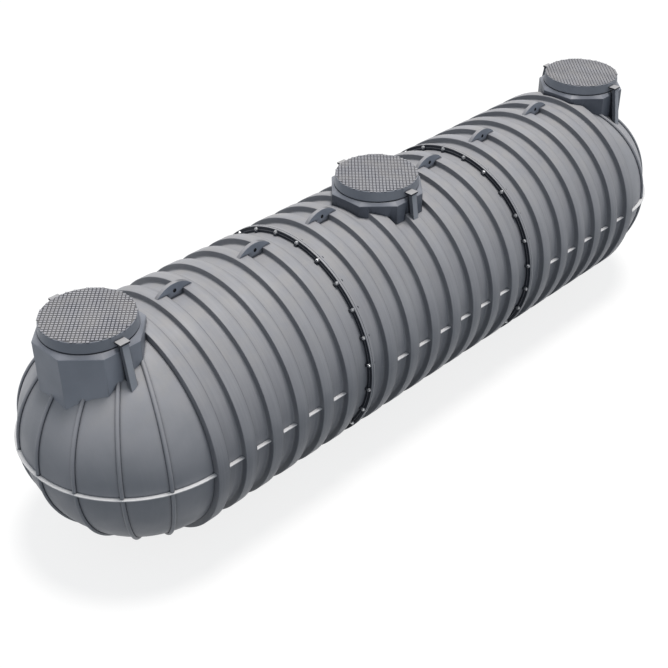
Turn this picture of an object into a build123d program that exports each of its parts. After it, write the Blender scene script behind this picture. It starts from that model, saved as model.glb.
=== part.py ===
from build123d import *
import math
import os

# Modular underground water tank: two domed end modules and a plain middle
# module, bolted together at flanges, with three octagonal manhole necks.
# X runs along the tank, Z is up and z = 0 is the level that the tank stands on.

# Main shell
crest_radius = 1150.0
groove_depth = 63.0
shell_wall = 12.0
standing_flat_depth = 20.0

# Ledge round the tank at mid height, where the two halves meet
ledge_reach = 38.0
ledge_thickness = 12.0

# Rings
ring_pitch = 324.0
crest_width = 130.0
flank_draft = 2.0
rings_per_end_module = 6
rings_in_middle_module = 7
ring_to_joint = 284.0

# Bolted joints
flange_thickness = 20.0
gasket_thickness = 4.0
gasket_recess = 6.0

# End domes and the beads that run over them
dome_centre_offset = 52.0
dome_rib_height = 26.0
dome_rib_foot_width = 38.0
dome_rib_top_width = 20.0
dome_rib_step = 22.5
dome_ribs_each_side = 3
dome_rib_reach = 75.0

# Manhole necks
manhole_radius = 400.0
neck_sides = 8
neck_rim_width = 38.0
neck_shoulder_width = 21.0
neck_shoulder_height = 30.0
neck_rise = 42.0
end_neck_offset = 424.0

# Manhole covers
cover_setback = 4.0
cover_taper = 12.0
cover_height = 116.0
cover_wall = 14.0
cover_spigot_depth = 40.0
cover_spigot_gap = 3.0

# Cover brackets
bracket_plate_width = 70.0
bracket_plate_thickness = 45.0
bracket_web_width = 34.0
bracket_reach = 52.0
bracket_lean = 8.2
bracket_cap_width = 104.0
bracket_cap_thickness = 14.0
bracket_cap_overhang = 5.0
bracket_cap_drop = 48.0
bracket_cap_gap = 3.0

# Lifting lugs
lug_thickness = 40.0
lug_length = 400.0
lug_rise = 86.0
lug_hole_radius = 20.0
lug_hole_height = 10.0

# Places worked out from the sizes above
valley_radius = crest_radius - groove_depth
ledge_radius = valley_radius + ledge_reach
axis_height = crest_radius - standing_flat_depth
joint_x = (rings_in_middle_module - 1) / 2 * ring_pitch + ring_to_joint
last_ring_x = joint_x + ring_to_joint + (rings_per_end_module - 1) * ring_pitch
flank_lean = math.tan(math.radians(flank_draft))
half_foot = crest_width / 2 + groove_depth * flank_lean
dome_seam_x = last_ring_x + half_foot
dome_centre_x = last_ring_x + dome_centre_offset
dome_radius = math.hypot(valley_radius, dome_seam_x - dome_centre_x)
end_neck_x = last_ring_x + end_neck_offset
neck_height = crest_radius + neck_rise
neck_top_z = axis_height + neck_height
neck_rim_radius = manhole_radius + neck_rim_width
neck_apothem = neck_rim_radius + neck_shoulder_width
neck_turn = 180 / neck_sides
cover_base_radius = neck_rim_radius - cover_setback
cover_top_radius = cover_base_radius - cover_taper
cover_seat_z = neck_top_z + neck_shoulder_height
cover_top_z = cover_seat_z + cover_height
cap_top_z = cover_top_z - bracket_cap_drop
cap_seat_z = cap_top_z - bracket_cap_thickness
mid_plane = Plane.XY.offset(axis_height)
outboard_keep = {-1: Keep.BOTTOM, 1: Keep.TOP}
tank_axis = Axis((0, 0, axis_height), (1, 0, 0))
half_turn = 180

os.makedirs("parts", exist_ok=True)


def export(piece, name):
    """Label one finished piece and write it as its own file."""
    piece.part.label = name
    export_step(piece.part, "parts/" + name + ".step")


def ring_centres(side):
    """Ring centres of one module: -1 near end, 0 middle, 1 far end."""
    if side == 0:
        first = -(rings_in_middle_module - 1) / 2 * ring_pitch
        return [first + i * ring_pitch for i in range(rings_in_middle_module)]
    first = joint_x + ring_to_joint
    return sorted(side * (first + i * ring_pitch) for i in range(rings_per_end_module))


def module_ends(side):
    """Where one module's barrel starts and ends along X."""
    half_gasket = gasket_thickness / 2
    if side == 0:
        return -joint_x + half_gasket, joint_x - half_gasket
    return tuple(sorted((side * (joint_x + half_gasket), side * dome_seam_x)))


def barrel_outline(side, inner_radius):
    """Points of a module's wall: straight inside, ringed outside."""
    start, end = module_ends(side)
    ringed = []
    for centre in ring_centres(side):
        ringed += [
            (centre - half_foot, valley_radius),
            (centre - crest_width / 2, crest_radius),
            (centre + crest_width / 2, crest_radius),
            (centre + half_foot, valley_radius),
        ]
    # The ring beside a dome ends at the seam itself, so the module's own
    # corner is left out there.
    if not math.isclose(ringed[0][0], start):
        ringed.insert(0, (start, valley_radius))
    if not math.isclose(ringed[-1][0], end):
        ringed.append((end, valley_radius))
    return [(start, inner_radius), *ringed, (end, inner_radius)]


def make_wall(side, inner_radius, arc):
    """Half of a module's wall, or a filled half where the inner radius is 0."""
    with BuildPart() as wall:
        with BuildSketch(mid_plane):
            with BuildLine():
                Polyline(*barrel_outline(side, inner_radius), close=True)
            make_face()
        revolve(axis=tank_axis, revolution_arc=arc)
    return wall


def make_barrel_upper(side, neck_x):
    """Upper half of a barrel, with a manhole where a neck stands on it."""
    with BuildPart() as barrel:
        add(make_wall(side, valley_radius - shell_wall, half_turn).part)
        with BuildSketch(mid_plane):
            with Locations((neck_x, 0)):
                Circle(manhole_radius)
        extrude(amount=neck_height, mode=Mode.SUBTRACT)
    return barrel


def make_barrel_lower(side):
    """Lower half of a barrel, with the ledge along its rim up to the flanges."""
    start, end = module_ends(side)
    if side >= 0:
        start += flange_thickness
    if side <= 0:
        end -= flange_thickness
    ledge_root = valley_radius - shell_wall / 2
    with BuildPart() as barrel:
        add(make_wall(side, valley_radius - shell_wall, -half_turn).part)
        with BuildSketch(mid_plane):
            for edge in (-1, 1):
                with Locations(((start + end) / 2, edge * (ledge_root + ledge_radius) / 2)):
                    Rectangle(end - start, ledge_radius - ledge_root)
        extrude(amount=-ledge_thickness)
        split(bisect_by=Plane.XY, keep=Keep.TOP)
    return barrel


def dome_arc(side, radius):
    """Seam, middle and tip of one meridian of a dome, in the mid plane."""
    seam_turn = math.asin((dome_seam_x - dome_centre_x) / radius)
    tip_turn = math.pi / 2
    return [
        (side * (dome_centre_x + radius * math.sin(turn)), radius * math.cos(turn))
        for turn in (seam_turn, (seam_turn + tip_turn) / 2, tip_turn)
    ]


def make_dome_shell(side, arc):
    """Quarter of a spherical shell from the seam to the tip."""
    seam, middle, tip = dome_arc(side, dome_radius)
    inner_seam, inner_middle, inner_tip = dome_arc(side, dome_radius - shell_wall)
    with BuildPart() as shell:
        with BuildSketch(mid_plane):
            with BuildLine():
                ThreePointArc(seam, middle, tip)
                Line(tip, inner_tip)
                ThreePointArc(inner_tip, inner_middle, inner_seam)
                Line(inner_seam, seam)
            make_face()
        revolve(axis=tank_axis, revolution_arc=arc)
    return shell


def make_dome_core(side):
    """The filled upper half of a dome, used to fit what stands on it."""
    seam, middle, tip = dome_arc(side, dome_radius)
    with BuildPart() as core:
        with BuildSketch(mid_plane):
            with BuildLine():
                ThreePointArc(seam, middle, tip)
                Line(tip, (seam[0], 0))
                Line((seam[0], 0), seam)
            make_face()
        revolve(axis=tank_axis, revolution_arc=half_turn)
    return core


def make_ribs(side, arc):
    """Drafted ribs that run up or down one dome from mid height."""
    centre_x = side * dome_centre_x
    outward = math.pi if side < 0 else 0
    root = dome_radius - shell_wall / 2
    crown = dome_radius + dome_rib_height
    with BuildPart() as ribs:
        for step in range(-dome_ribs_each_side, dome_ribs_each_side + 1):
            heading = outward + math.radians(step * dome_rib_step)
            out = Vector(math.cos(heading), math.sin(heading))
            across = Vector(-math.sin(heading), math.cos(heading))
            foot = across * dome_rib_foot_width / 2
            top = across * dome_rib_top_width / 2
            centre = Vector(centre_x, 0)
            with BuildSketch(mid_plane):
                Polygon(
                    centre + out * root - foot,
                    centre + out * root + foot,
                    centre + out * crown + top,
                    centre + out * crown - top,
                    align=None,
                )
            turn_axis = Axis((centre_x, 0, axis_height), -across)
            revolve(axis=turn_axis, revolution_arc=arc)
    return ribs


def make_dome_upper(side):
    """Upper quarter of an end dome: manhole, and ribs that stop at the neck."""
    with BuildPart() as ribs:
        add(make_ribs(side, dome_rib_reach).part)
        with BuildSketch(mid_plane):
            with Locations((side * end_neck_x, 0)):
                RegularPolygon(neck_apothem, neck_sides, major_radius=False, rotation=neck_turn)
        extrude(amount=neck_height, mode=Mode.SUBTRACT)
    with BuildPart() as dome:
        add(make_dome_shell(side, half_turn).part)
        with BuildSketch(mid_plane):
            with Locations((side * end_neck_x, 0)):
                Circle(manhole_radius)
        extrude(amount=neck_height, mode=Mode.SUBTRACT)
        add(ribs.part)
    return dome


def make_dome_lower(side):
    """Lower quarter of an end dome, with ribs and the ledge at mid height."""
    with BuildPart() as dome:
        add(make_dome_shell(side, -half_turn).part)
        add(make_ribs(side, -dome_rib_reach).part)
        with BuildSketch(mid_plane):
            with Locations((side * dome_centre_x, 0)):
                Circle(dome_radius + ledge_reach)
                Circle(dome_radius - shell_wall / 2, mode=Mode.SUBTRACT)
        extrude(amount=-ledge_thickness)
        split(bisect_by=Plane.YZ.offset(side * dome_seam_x), keep=outboard_keep[side])
        split(bisect_by=Plane.XY, keep=Keep.TOP)
    return dome


def make_collar(start, end, outer_radius):
    """A flange or gasket that fits round the barrel between two planes."""
    with BuildPart() as collar:
        with BuildSketch(mid_plane):
            with Locations(((start + end) / 2, (valley_radius + outer_radius) / 2)):
                Rectangle(end - start, outer_radius - valley_radius)
        revolve(axis=tank_axis)
        split(bisect_by=Plane.XY, keep=Keep.TOP)
    return collar


def make_neck(neck_x, cores):
    """Octagonal manhole neck with a shoulder that rises to the cover's round rim."""
    with BuildPart() as neck:
        with BuildSketch(mid_plane):
            with Locations((neck_x, 0)):
                RegularPolygon(neck_apothem, neck_sides, major_radius=False, rotation=neck_turn)
        extrude(amount=neck_height)
        with BuildSketch(Plane.XY.offset(neck_top_z)):
            with Locations((neck_x, 0)):
                RegularPolygon(neck_apothem, neck_sides, major_radius=False, rotation=neck_turn)
        with BuildSketch(Plane.XY.offset(cover_seat_z)):
            with Locations((neck_x, 0)):
                Circle(neck_rim_radius)
        loft()
        with BuildSketch(mid_plane):
            with Locations((neck_x, 0)):
                Circle(manhole_radius)
        extrude(amount=neck_height + neck_shoulder_height, mode=Mode.SUBTRACT)
        for core in cores:
            add(core.part, mode=Mode.SUBTRACT)
    return neck


def make_cover(neck_x):
    """Tapered manhole cover, hollow below, with a spigot in the neck."""
    spigot_radius = manhole_radius - cover_spigot_gap
    bore_radius = spigot_radius - cover_wall
    spigot_z = cover_seat_z - cover_spigot_depth
    with BuildPart() as cover:
        with BuildSketch(Plane.XZ):
            with BuildLine():
                Polyline(
                    (neck_x, cover_top_z),
                    (neck_x + cover_top_radius, cover_top_z),
                    (neck_x + cover_base_radius, cover_seat_z),
                    (neck_x + spigot_radius, cover_seat_z),
                    (neck_x + spigot_radius, spigot_z),
                    (neck_x + bore_radius, spigot_z),
                    (neck_x + bore_radius, cover_top_z - cover_wall),
                    (neck_x, cover_top_z - cover_wall),
                    close=True,
                )
            make_face()
        revolve(axis=Axis((neck_x, 0, 0), (0, 0, 1)))
    return cover


def make_bracket(neck_x, edge, cores):
    """Leaning plate and web on a neck's side, with a cap that meets the cover."""
    lean = math.tan(math.radians(bracket_lean))
    wall_y = neck_apothem
    top_y = wall_y + bracket_reach
    root_y = top_y + (cap_seat_z - axis_height) * lean
    taper = (cover_base_radius - cover_top_radius) / cover_height
    cover_radius = cover_base_radius - taper * (cap_seat_z - cover_seat_z)
    cap_inner_y = cover_radius + bracket_cap_gap
    cap_outer_y = top_y + bracket_cap_overhang
    with BuildPart() as bracket:
        with BuildSketch(Plane.YZ.offset(neck_x)):
            with BuildLine():
                Polyline(
                    (edge * root_y, axis_height),
                    (edge * top_y, cap_seat_z),
                    (edge * (top_y - bracket_plate_thickness), cap_seat_z),
                    (edge * (root_y - bracket_plate_thickness), axis_height),
                    close=True,
                )
            make_face()
        extrude(amount=bracket_plate_width / 2, both=True)
        with BuildSketch(Plane.YZ.offset(neck_x)):
            with BuildLine():
                Polyline(
                    (edge * (root_y - bracket_plate_thickness), axis_height),
                    (edge * (top_y - bracket_plate_thickness), cap_seat_z),
                    (edge * wall_y, cap_seat_z),
                    (edge * wall_y, axis_height),
                    close=True,
                )
            make_face()
        extrude(amount=bracket_web_width / 2, both=True)
        with BuildSketch(Plane.XY.offset(cap_seat_z)):
            with Locations((neck_x, edge * (cap_inner_y + cap_outer_y) / 2)):
                Rectangle(bracket_cap_width, cap_outer_y - cap_inner_y)
        extrude(amount=bracket_cap_thickness)
        for core in cores:
            add(core.part, mode=Mode.SUBTRACT)
    return bracket


def make_lug(lug_x, core):
    """Arched lifting lug across a valley, from ring to ring, with an eye."""
    half = lug_length / 2
    crest_z = axis_height + crest_radius
    root_z = axis_height + valley_radius - shell_wall
    with BuildPart() as lug:
        with BuildSketch(Plane.XZ):
            with BuildLine():
                Polyline(
                    (lug_x - half, crest_z),
                    (lug_x - half, root_z),
                    (lug_x + half, root_z),
                    (lug_x + half, crest_z),
                )
                ThreePointArc((lug_x + half, crest_z), (lug_x, crest_z + lug_rise), (lug_x - half, crest_z))
            make_face()
            with Locations((lug_x, crest_z + lug_hole_height)):
                Circle(lug_hole_radius, mode=Mode.SUBTRACT)
        extrude(amount=lug_thickness / 2, both=True)
        add(core.part, mode=Mode.SUBTRACT)
    return lug


side_names = {-1: "near", 0: "middle", 1: "far"}
neck_places = {-1: -end_neck_x, 0: 0.0, 1: end_neck_x}

# Ring gaps that a module's two lugs stand over, counted from its first ring
lug_gaps = {-1: (1, 4), 0: (0, 5), 1: (3, 0)}

barrel_cores = {side: make_wall(side, 0, half_turn) for side in side_names}
dome_cores = {side: make_dome_core(side) for side in (-1, 1)}

for side, name in side_names.items():
    export(make_barrel_upper(side, neck_places[side]), name + "_barrel_upper")
    export(make_barrel_lower(side), name + "_barrel_lower")

for side in (-1, 1):
    name = side_names[side]
    export(make_dome_upper(side), name + "_dome_upper")
    export(make_dome_lower(side), name + "_dome_lower")
    joint = side * joint_x
    half_gasket = gasket_thickness / 2
    flange_reach = half_gasket + flange_thickness
    low_flange = (joint - flange_reach, joint - half_gasket)
    high_flange = (joint + half_gasket, joint + flange_reach)
    end_flange, middle_flange = (low_flange, high_flange) if side < 0 else (high_flange, low_flange)
    export(make_collar(*end_flange, crest_radius), name + "_end_flange")
    export(make_collar(*middle_flange, crest_radius), name + "_middle_flange")
    gasket_radius = crest_radius - gasket_recess
    export(make_collar(joint - half_gasket, joint + half_gasket, gasket_radius), name + "_joint_gasket")

for side, name in side_names.items():
    neck_x = neck_places[side]
    cores = [barrel_cores[side]]
    if side != 0:
        cores.append(dome_cores[side])
    export(make_neck(neck_x, cores), name + "_neck")
    export(make_cover(neck_x), name + "_cover")
    export(make_bracket(neck_x, -1, cores), name + "_bracket_front")
    export(make_bracket(neck_x, 1, cores), name + "_bracket_back")

for side, name in side_names.items():
    centres = ring_centres(side)
    for index, gap in enumerate(lug_gaps[side]):
        lug_x = (centres[gap] + centres[gap + 1]) / 2
        export(make_lug(lug_x, barrel_cores[side]), name + "_lug_" + str(index + 1))
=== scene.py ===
"""Dressed model of a modular underground water tank with three manholes.

X runs along the tank, Z is up and the tank stands on z = 0. Metres throughout.
"""
import logging
import math
from collections.abc import Callable
from dataclasses import dataclass
from enum import Enum
from typing import Any

import bmesh
import bpy
from bmesh.types import BMEdge, BMesh, BMFace, BMVert
from bpy.types import Material, Mesh, Node, NodeSocket, NodeTree, Object
from mathutils import Matrix, Vector


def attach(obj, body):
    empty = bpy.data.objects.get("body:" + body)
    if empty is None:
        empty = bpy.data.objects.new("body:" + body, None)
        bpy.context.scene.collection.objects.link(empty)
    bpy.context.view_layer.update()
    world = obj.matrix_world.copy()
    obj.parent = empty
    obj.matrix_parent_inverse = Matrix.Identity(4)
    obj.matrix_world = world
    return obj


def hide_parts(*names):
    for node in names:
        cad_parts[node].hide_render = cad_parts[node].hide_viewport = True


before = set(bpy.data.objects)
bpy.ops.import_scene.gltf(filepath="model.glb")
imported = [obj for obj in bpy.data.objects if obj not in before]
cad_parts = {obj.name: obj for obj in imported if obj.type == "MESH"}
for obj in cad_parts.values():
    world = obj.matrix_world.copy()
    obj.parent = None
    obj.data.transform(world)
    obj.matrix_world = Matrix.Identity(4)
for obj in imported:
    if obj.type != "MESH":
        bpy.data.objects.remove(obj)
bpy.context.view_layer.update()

log = logging.getLogger("water_tank")

Colour = tuple[float, float, float]
Point = tuple[float, float]
Triple = tuple[float, float, float]
Looks = dict[str, Material]

# Vertices closer than this are merged.
MERGE_DISTANCE = 0.00002
# Edges sharper than this stay crisp in the shading.
CRISP_ANGLE = math.radians(32)
# How far the pieces that stand on the shell reach into it.
CORE_SINK = 0.004
# Least part of a face's normal along an axis for it to be square to that axis.
FLAT = 0.99
# Least Z of a face's normal for it to look up.
UPWARD = 0.5
# Half the angle that one side of an octagon spans.
OCTAGON_TURN = math.pi / 8
WHITE = (1.0, 1.0, 1.0)


class Named(Enum):
    """An option whose name is part of the names of pieces."""

    @property
    def label(self) -> str:
        """The option's name in small letters."""
        return self.name.lower()


class Half(Named):
    """The two halves that a module is moulded in."""

    UPPER = 1
    LOWER = -1


class Side(Named):
    """Where a module, neck or joint stands along the tank."""

    NEAR = -1
    MIDDLE = 0
    FAR = 1


class Edge(Named):
    """The two sides of a neck that carry a bracket, along Y."""

    FRONT = -1
    BACK = 1


class Affect(Enum):
    """What a bevel rounds."""

    EDGES = "EDGES"
    CORNERS = "VERTICES"


def linear(level: float) -> float:
    """Turn one 0-255 display level into a linear value."""
    part = level / 255
    return part / 12.92 if part <= 0.04045 else ((part + 0.055) / 1.055) ** 2.4


def shade(levels: Colour) -> Colour:
    """Turn a colour given in 0-255 display levels into linear values."""
    return tuple(map(linear, levels))


@dataclass(frozen=True)
class Layout:
    """Sizes that the tank's pieces share."""

    crest_radius: float = 1.150
    valley_radius: float = 1.087
    inner_radius: float = 1.075
    axis_height: float = 1.130
    ledge_reach: float = 0.038
    ledge_thickness: float = 0.012
    ring_pitch: float = 0.324
    crest_width: float = 0.130
    flank_lean: float = math.tan(math.radians(2))
    rings_in_end: int = 6
    rings_in_middle: int = 7
    ring_to_joint: float = 0.284
    half_gasket: float = 0.002
    flange_thickness: float = 0.020
    dome_offset: float = 0.052
    neck_offset: float = 0.424
    neck_apothem: float = 0.459
    neck_top: float = 2.322
    cover_seat: float = 2.352
    cover_top: float = 2.468

    @property
    def joint_x(self) -> float:
        """Distance of a joint from the middle of the tank."""
        return (self.rings_in_middle - 1) / 2 * self.ring_pitch + self.ring_to_joint

    @property
    def last_ring_x(self) -> float:
        """Distance of the ring beside a dome from the middle of the tank."""
        return self.joint_x + self.ring_to_joint + (self.rings_in_end - 1) * self.ring_pitch

    @property
    def half_foot(self) -> float:
        """Half a ring's width where it stands on the wall."""
        return self.crest_width / 2 + (self.crest_radius - self.valley_radius) * self.flank_lean

    @property
    def seam_x(self) -> float:
        """Distance of the seam between a barrel and its dome."""
        return self.last_ring_x + self.half_foot

    @property
    def dome_x(self) -> float:
        """Distance of a dome's centre from the middle of the tank."""
        return self.last_ring_x + self.dome_offset

    @property
    def dome_radius(self) -> float:
        """Radius of a dome about its own centre."""
        return math.hypot(self.valley_radius, self.seam_x - self.dome_x)

    @property
    def flange_face(self) -> float:
        """Distance of a flange's free face from the middle of its joint."""
        return self.half_gasket + self.flange_thickness

    def neck_x(self, side: Side) -> float:
        """Place of one manhole along the tank."""
        return side.value * (self.last_ring_x + self.neck_offset)

    def rings(self, side: Side) -> list[float]:
        """Ring centres of one module, lowest X first."""
        if side is Side.MIDDLE:
            first = -(self.rings_in_middle - 1) / 2 * self.ring_pitch
            return [first + i * self.ring_pitch for i in range(self.rings_in_middle)]
        first = self.joint_x + self.ring_to_joint
        return sorted(side.value * (first + i * self.ring_pitch) for i in range(self.rings_in_end))

    def ends(self, side: Side) -> Point:
        """Where one module's barrel starts and ends along X."""
        if side is Side.MIDDLE:
            return self.half_gasket - self.joint_x, self.joint_x - self.half_gasket
        inner, outer = self.joint_x + self.half_gasket, self.seam_x
        low, high = sorted((side.value * inner, side.value * outer))
        return low, high


LAYOUT = Layout()
ORIGIN = Vector((0, 0, 0))
MID_POINT = Vector((0, 0, LAYOUT.axis_height))
ALONG = Vector((1, 0, 0))
UP = Vector((0, 0, 1))


class Bench:
    """Places and joins the nodes of one node tree."""

    def __init__(self, tree: NodeTree) -> None:
        """Take the tree that the nodes go into."""
        self.tree = tree

    def feed(self, value: Any, socket: NodeSocket) -> None:
        """Give a socket a number, a colour or another node's output."""
        if isinstance(value, NodeSocket):
            self.tree.links.new(value, socket)
        else:
            socket.default_value = value

    def fill(self, node: Node, **settings: Any) -> None:
        """Set up a node.

        Args:
            node: the node.
            settings: its properties by name, and values or outputs for its
                inputs by name, with _ for a space.
        """
        for key, value in settings.items():
            if key in node.bl_rna.properties:
                setattr(node, key, value)
            else:
                self.feed(value, node.inputs[key.replace("_", " ")])

    def add(self, kind: str, **settings: Any) -> Node:
        """Place a node.

        Args:
            kind: the node's type without its "ShaderNode" prefix.
            settings: what fill() takes.

        Returns:
            The new node.
        """
        node = self.tree.nodes.new("ShaderNode" + kind)
        self.fill(node, **settings)
        return node

    def effect(self, tree: NodeTree, **inputs: Any) -> Any:
        """Place a shared group and give its outputs."""
        return self.add("Group", node_tree=tree, **inputs).outputs

    def math(self, operation: str, *values: Any, clamp: bool = False) -> NodeSocket:
        """Combine some values.

        Args:
            operation: the Math node's operation.
            values: numbers or outputs, in the order of the node's inputs.
            clamp: keep the result between 0 and 1.

        Returns:
            The result's output.
        """
        node = self.add("Math", operation=operation, use_clamp=clamp)
        for socket, value in zip(node.inputs, values):
            self.feed(value, socket)
        return node.outputs[0]

    def window(self, value: Any, low: float, high: float) -> NodeSocket:
        """Stretch a value so that low becomes 0 and high becomes 1, smoothly."""
        node = self.add("MapRange", interpolation_type="SMOOTHSTEP", Value=value)
        self.fill(node, From_Min=low, From_Max=high)
        return node.outputs["Result"]

    def blend(self, mask: Any, low: Any, high: Any) -> NodeSocket:
        """Mix two colours by a mask.

        Args:
            mask: a number or an output, 0 for low and 1 for high.
            low: a colour or an output.
            high: a colour or an output.

        Returns:
            The mixed colour's output.
        """
        node = self.add("Mix", data_type="RGBA", clamp_factor=True, Factor=mask)
        for name, value in (("A", low), ("B", high)):
            socket = [s for s in node.inputs if s.name == name and s.type == "RGBA"][0]
            self.feed((*value, 1.0) if isinstance(value, tuple) else value, socket)
        return [s for s in node.outputs if s.type == "RGBA"][0]

    def split(self, vector: NodeSocket) -> Any:
        """Take a vector apart into the outputs X, Y and Z."""
        return self.add("SeparateXYZ", Vector=vector).outputs

    def normal(self) -> NodeSocket:
        """The surface's own normal."""
        return self.add("NewGeometry").outputs["Normal"]

    def spot(self) -> NodeSocket:
        """The place in object coordinates."""
        return self.add("TexCoord").outputs["Object"]

    def noise(self, scale: Any, layers: Point, vector: NodeSocket | None = None) -> NodeSocket:
        """Cloudy noise.

        Args:
            scale: a number or an output.
            layers: number of finer layers, and their strength.
            vector: where to read it, in object coordinates if not given.

        Returns:
            The value's output.
        """
        node = self.add("TexNoise", Scale=scale, Detail=layers[0], Roughness=layers[1])
        self.feed(vector or self.spot(), node.inputs["Vector"])
        return node.outputs["Fac"]


def new_group(name: str, *outputs: str, **inputs: float) -> tuple[Bench, Any, Any]:
    """Start a shader node group of plain values.

    Args:
        name: the group's name.
        outputs: the name of each output.
        inputs: the usual value of each input by name, with _ for a space.

    Returns:
        A bench for the group, what comes in and what goes out.
    """
    tree = bpy.data.node_groups.new(name, "ShaderNodeTree")
    kind = "NodeSocketFloat"
    for label, value in inputs.items():
        label = label.replace("_", " ")
        socket = tree.interface.new_socket(name=label, in_out="INPUT", socket_type=kind)
        socket.default_value = value
    for label in outputs:
        tree.interface.new_socket(name=label, in_out="OUTPUT", socket_type=kind)
    source = tree.nodes.new("NodeGroupInput")
    target = tree.nodes.new("NodeGroupOutput")
    return Bench(tree), source.outputs, target.inputs


def new_material(name: str) -> tuple[Material, Bench, Node]:
    """Start a material.

    Args:
        name: the material's name.

    Returns:
        The material, a bench for its nodes and its shader.
    """
    material = bpy.data.materials.new(name)
    material.use_nodes = True
    tree = material.node_tree
    return material, Bench(tree), tree.nodes["Principled BSDF"]


@dataclass
class Effects:
    """The effects that several finishes share, each built once."""

    grain_layers: Point = (3.0, 0.6)
    mottle_layers: Point = (4.0, 0.55)
    mottle_window: Point = (0.3, 0.7)
    wear_samples: int = 4
    wear_window: Point = (0.004, 0.10)
    patch_layers: Point = (4.0, 0.7)
    patch_window: Point = (0.36, 0.62)
    dust_window: Point = (0.25, 1.0)
    dust_layers: Point = (6.0, 0.65)
    cloud_window: Point = (0.32, 0.72)
    hoop_layers: Point = (3.0, 0.6)
    hoop_window: Point = (0.33, 0.67)
    # The painted shade in corners:
    corner_samples: int = 6
    corner_window: Point = (0.08, 0.50)
    corner_cloud: float = 7.0
    corner_layers: Point = (5.0, 0.6)
    corner_spread: Point = (0.5, 0.72)
    # The painted shade on faces that look along the tank:
    weather_window: Point = (0.35, 0.92)
    lee_window: Point = (0.05, 0.30)
    lee_strength: float = 1.9
    film_cloud: float = 4.0
    film_layers: Point = (4.0, 0.6)
    film_spread: Point = (0.4, 0.8)

    def __post_init__(self) -> None:
        """Build every group."""
        self.grain = self.build_grain()
        self.wear = self.build_wear()
        self.dust = self.build_dust()
        self.streaks = self.build_streaks()
        self.grime = self.build_grime()
        self.film = self.build_film()

    def build_grain(self) -> NodeTree:
        """Fine grain of a rough mould and broad mottling.

        Returns:
            A group with the outputs Height and Mottle.
        """
        bench, source, target = new_group(
            "mould_grain", "Height", "Mottle", Grain=220.0, Mottle_Size=2.2
        )
        bench.feed(bench.noise(source["Grain"], self.grain_layers), target["Height"])
        broad = bench.noise(source["Mottle Size"], self.mottle_layers)
        bench.feed(bench.window(broad, *self.mottle_window), target["Mottle"])
        return bench.tree

    def build_wear(self) -> NodeTree:
        """Mask of the outer edges, broken up where hands and straps rub.

        Returns:
            A group with the output Mask.
        """
        bench, source, target = new_group("edge_wear", "Mask", Width=0.006, Patches=14.0)
        rounded = bench.add("Bevel", samples=self.wear_samples, Radius=source["Width"])
        dot = bench.add("VectorMath", operation="DOT_PRODUCT")
        bench.feed(rounded.outputs["Normal"], dot.inputs[0])
        bench.feed(bench.normal(), dot.inputs[1])
        turn = bench.math("SUBTRACT", 1.0, dot.outputs["Value"])
        edge = bench.window(turn, *self.wear_window)
        patches = bench.noise(source["Patches"], self.patch_layers)
        broken = bench.window(patches, *self.patch_window)
        bench.feed(bench.math("MULTIPLY", edge, broken), target["Mask"])
        return bench.tree

    def build_dust(self) -> NodeTree:
        """Mask of dust that settles on faces that look up.

        Returns:
            A group with the output Mask.
        """
        bench, source, target = new_group("settled_dust", "Mask", Amount=0.5, Cloud_Size=5.0)
        upward = bench.window(bench.split(bench.normal())["Z"], *self.dust_window)
        clouds = bench.noise(source["Cloud Size"], self.dust_layers)
        mask = bench.math("MULTIPLY", upward, bench.window(clouds, *self.cloud_window))
        bench.feed(bench.math("MULTIPLY", mask, source["Amount"]), target["Mask"])
        return bench.tree

    def build_streaks(self) -> NodeTree:
        """Faint hoops left by the mould, fine along the tank and long round it.

        Returns:
            A group with the output Mask.
        """
        bench, source, target = new_group("hoop_streaks", "Mask", Fineness=70.0, Length=1.6)
        spot = bench.split(bench.spot())
        merge = bench.add("CombineXYZ")
        for name, factor in (("X", "Fineness"), ("Y", "Length"), ("Z", "Length")):
            bench.feed(bench.math("MULTIPLY", spot[name], source[factor]), merge.inputs[name])
        hoops = bench.noise(1.0, self.hoop_layers, merge.outputs["Vector"])
        bench.feed(bench.window(hoops, *self.hoop_window), target["Mask"])
        return bench.tree

    def build_grime(self) -> NodeTree:
        """Mask of painted shade in corners, such as the foot of a ring or bead, where ambient
        occlusion finds the surface shut in.

        Returns:
            A group with the output Mask.
        """
        bench, source, target = new_group("corner_grime", "Mask", Reach=0.03, Amount=0.6)
        hollow = bench.add(
            "AmbientOcclusion", samples=self.corner_samples, Distance=source["Reach"]
        )
        shut = bench.math("SUBTRACT", 1.0, hollow.outputs["AO"])
        corner = bench.window(shut, *self.corner_window)
        clouds = bench.noise(self.corner_cloud, self.corner_layers)
        mask = bench.math(
            "MULTIPLY", corner, bench.math("MULTIPLY_ADD", clouds, *self.corner_spread)
        )
        bench.feed(bench.math("MULTIPLY", mask, source["Amount"], clamp=True), target["Mask"])
        return bench.tree

    def build_film(self) -> NodeTree:
        """Mask of painted shade on faces that look along the tank, towards either end.

        Returns:
            A group with the output Mask.
        """
        bench, source, target = new_group("flank_film", "Mask", Amount=0.5)
        ahead = bench.split(bench.normal())["X"]
        near_facing = bench.window(bench.math("MULTIPLY", ahead, -1.0), *self.weather_window)
        far_facing = bench.math("MULTIPLY", bench.window(ahead, *self.lee_window), self.lee_strength)
        clouds = bench.noise(self.film_cloud, self.film_layers)
        uneven = bench.math("MULTIPLY_ADD", clouds, *self.film_spread)
        mask = bench.math("MULTIPLY", bench.math("MAXIMUM", near_facing, far_facing), uneven)
        bench.feed(bench.math("MULTIPLY", mask, source["Amount"], clamp=True), target["Mask"])
        return bench.tree


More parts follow.
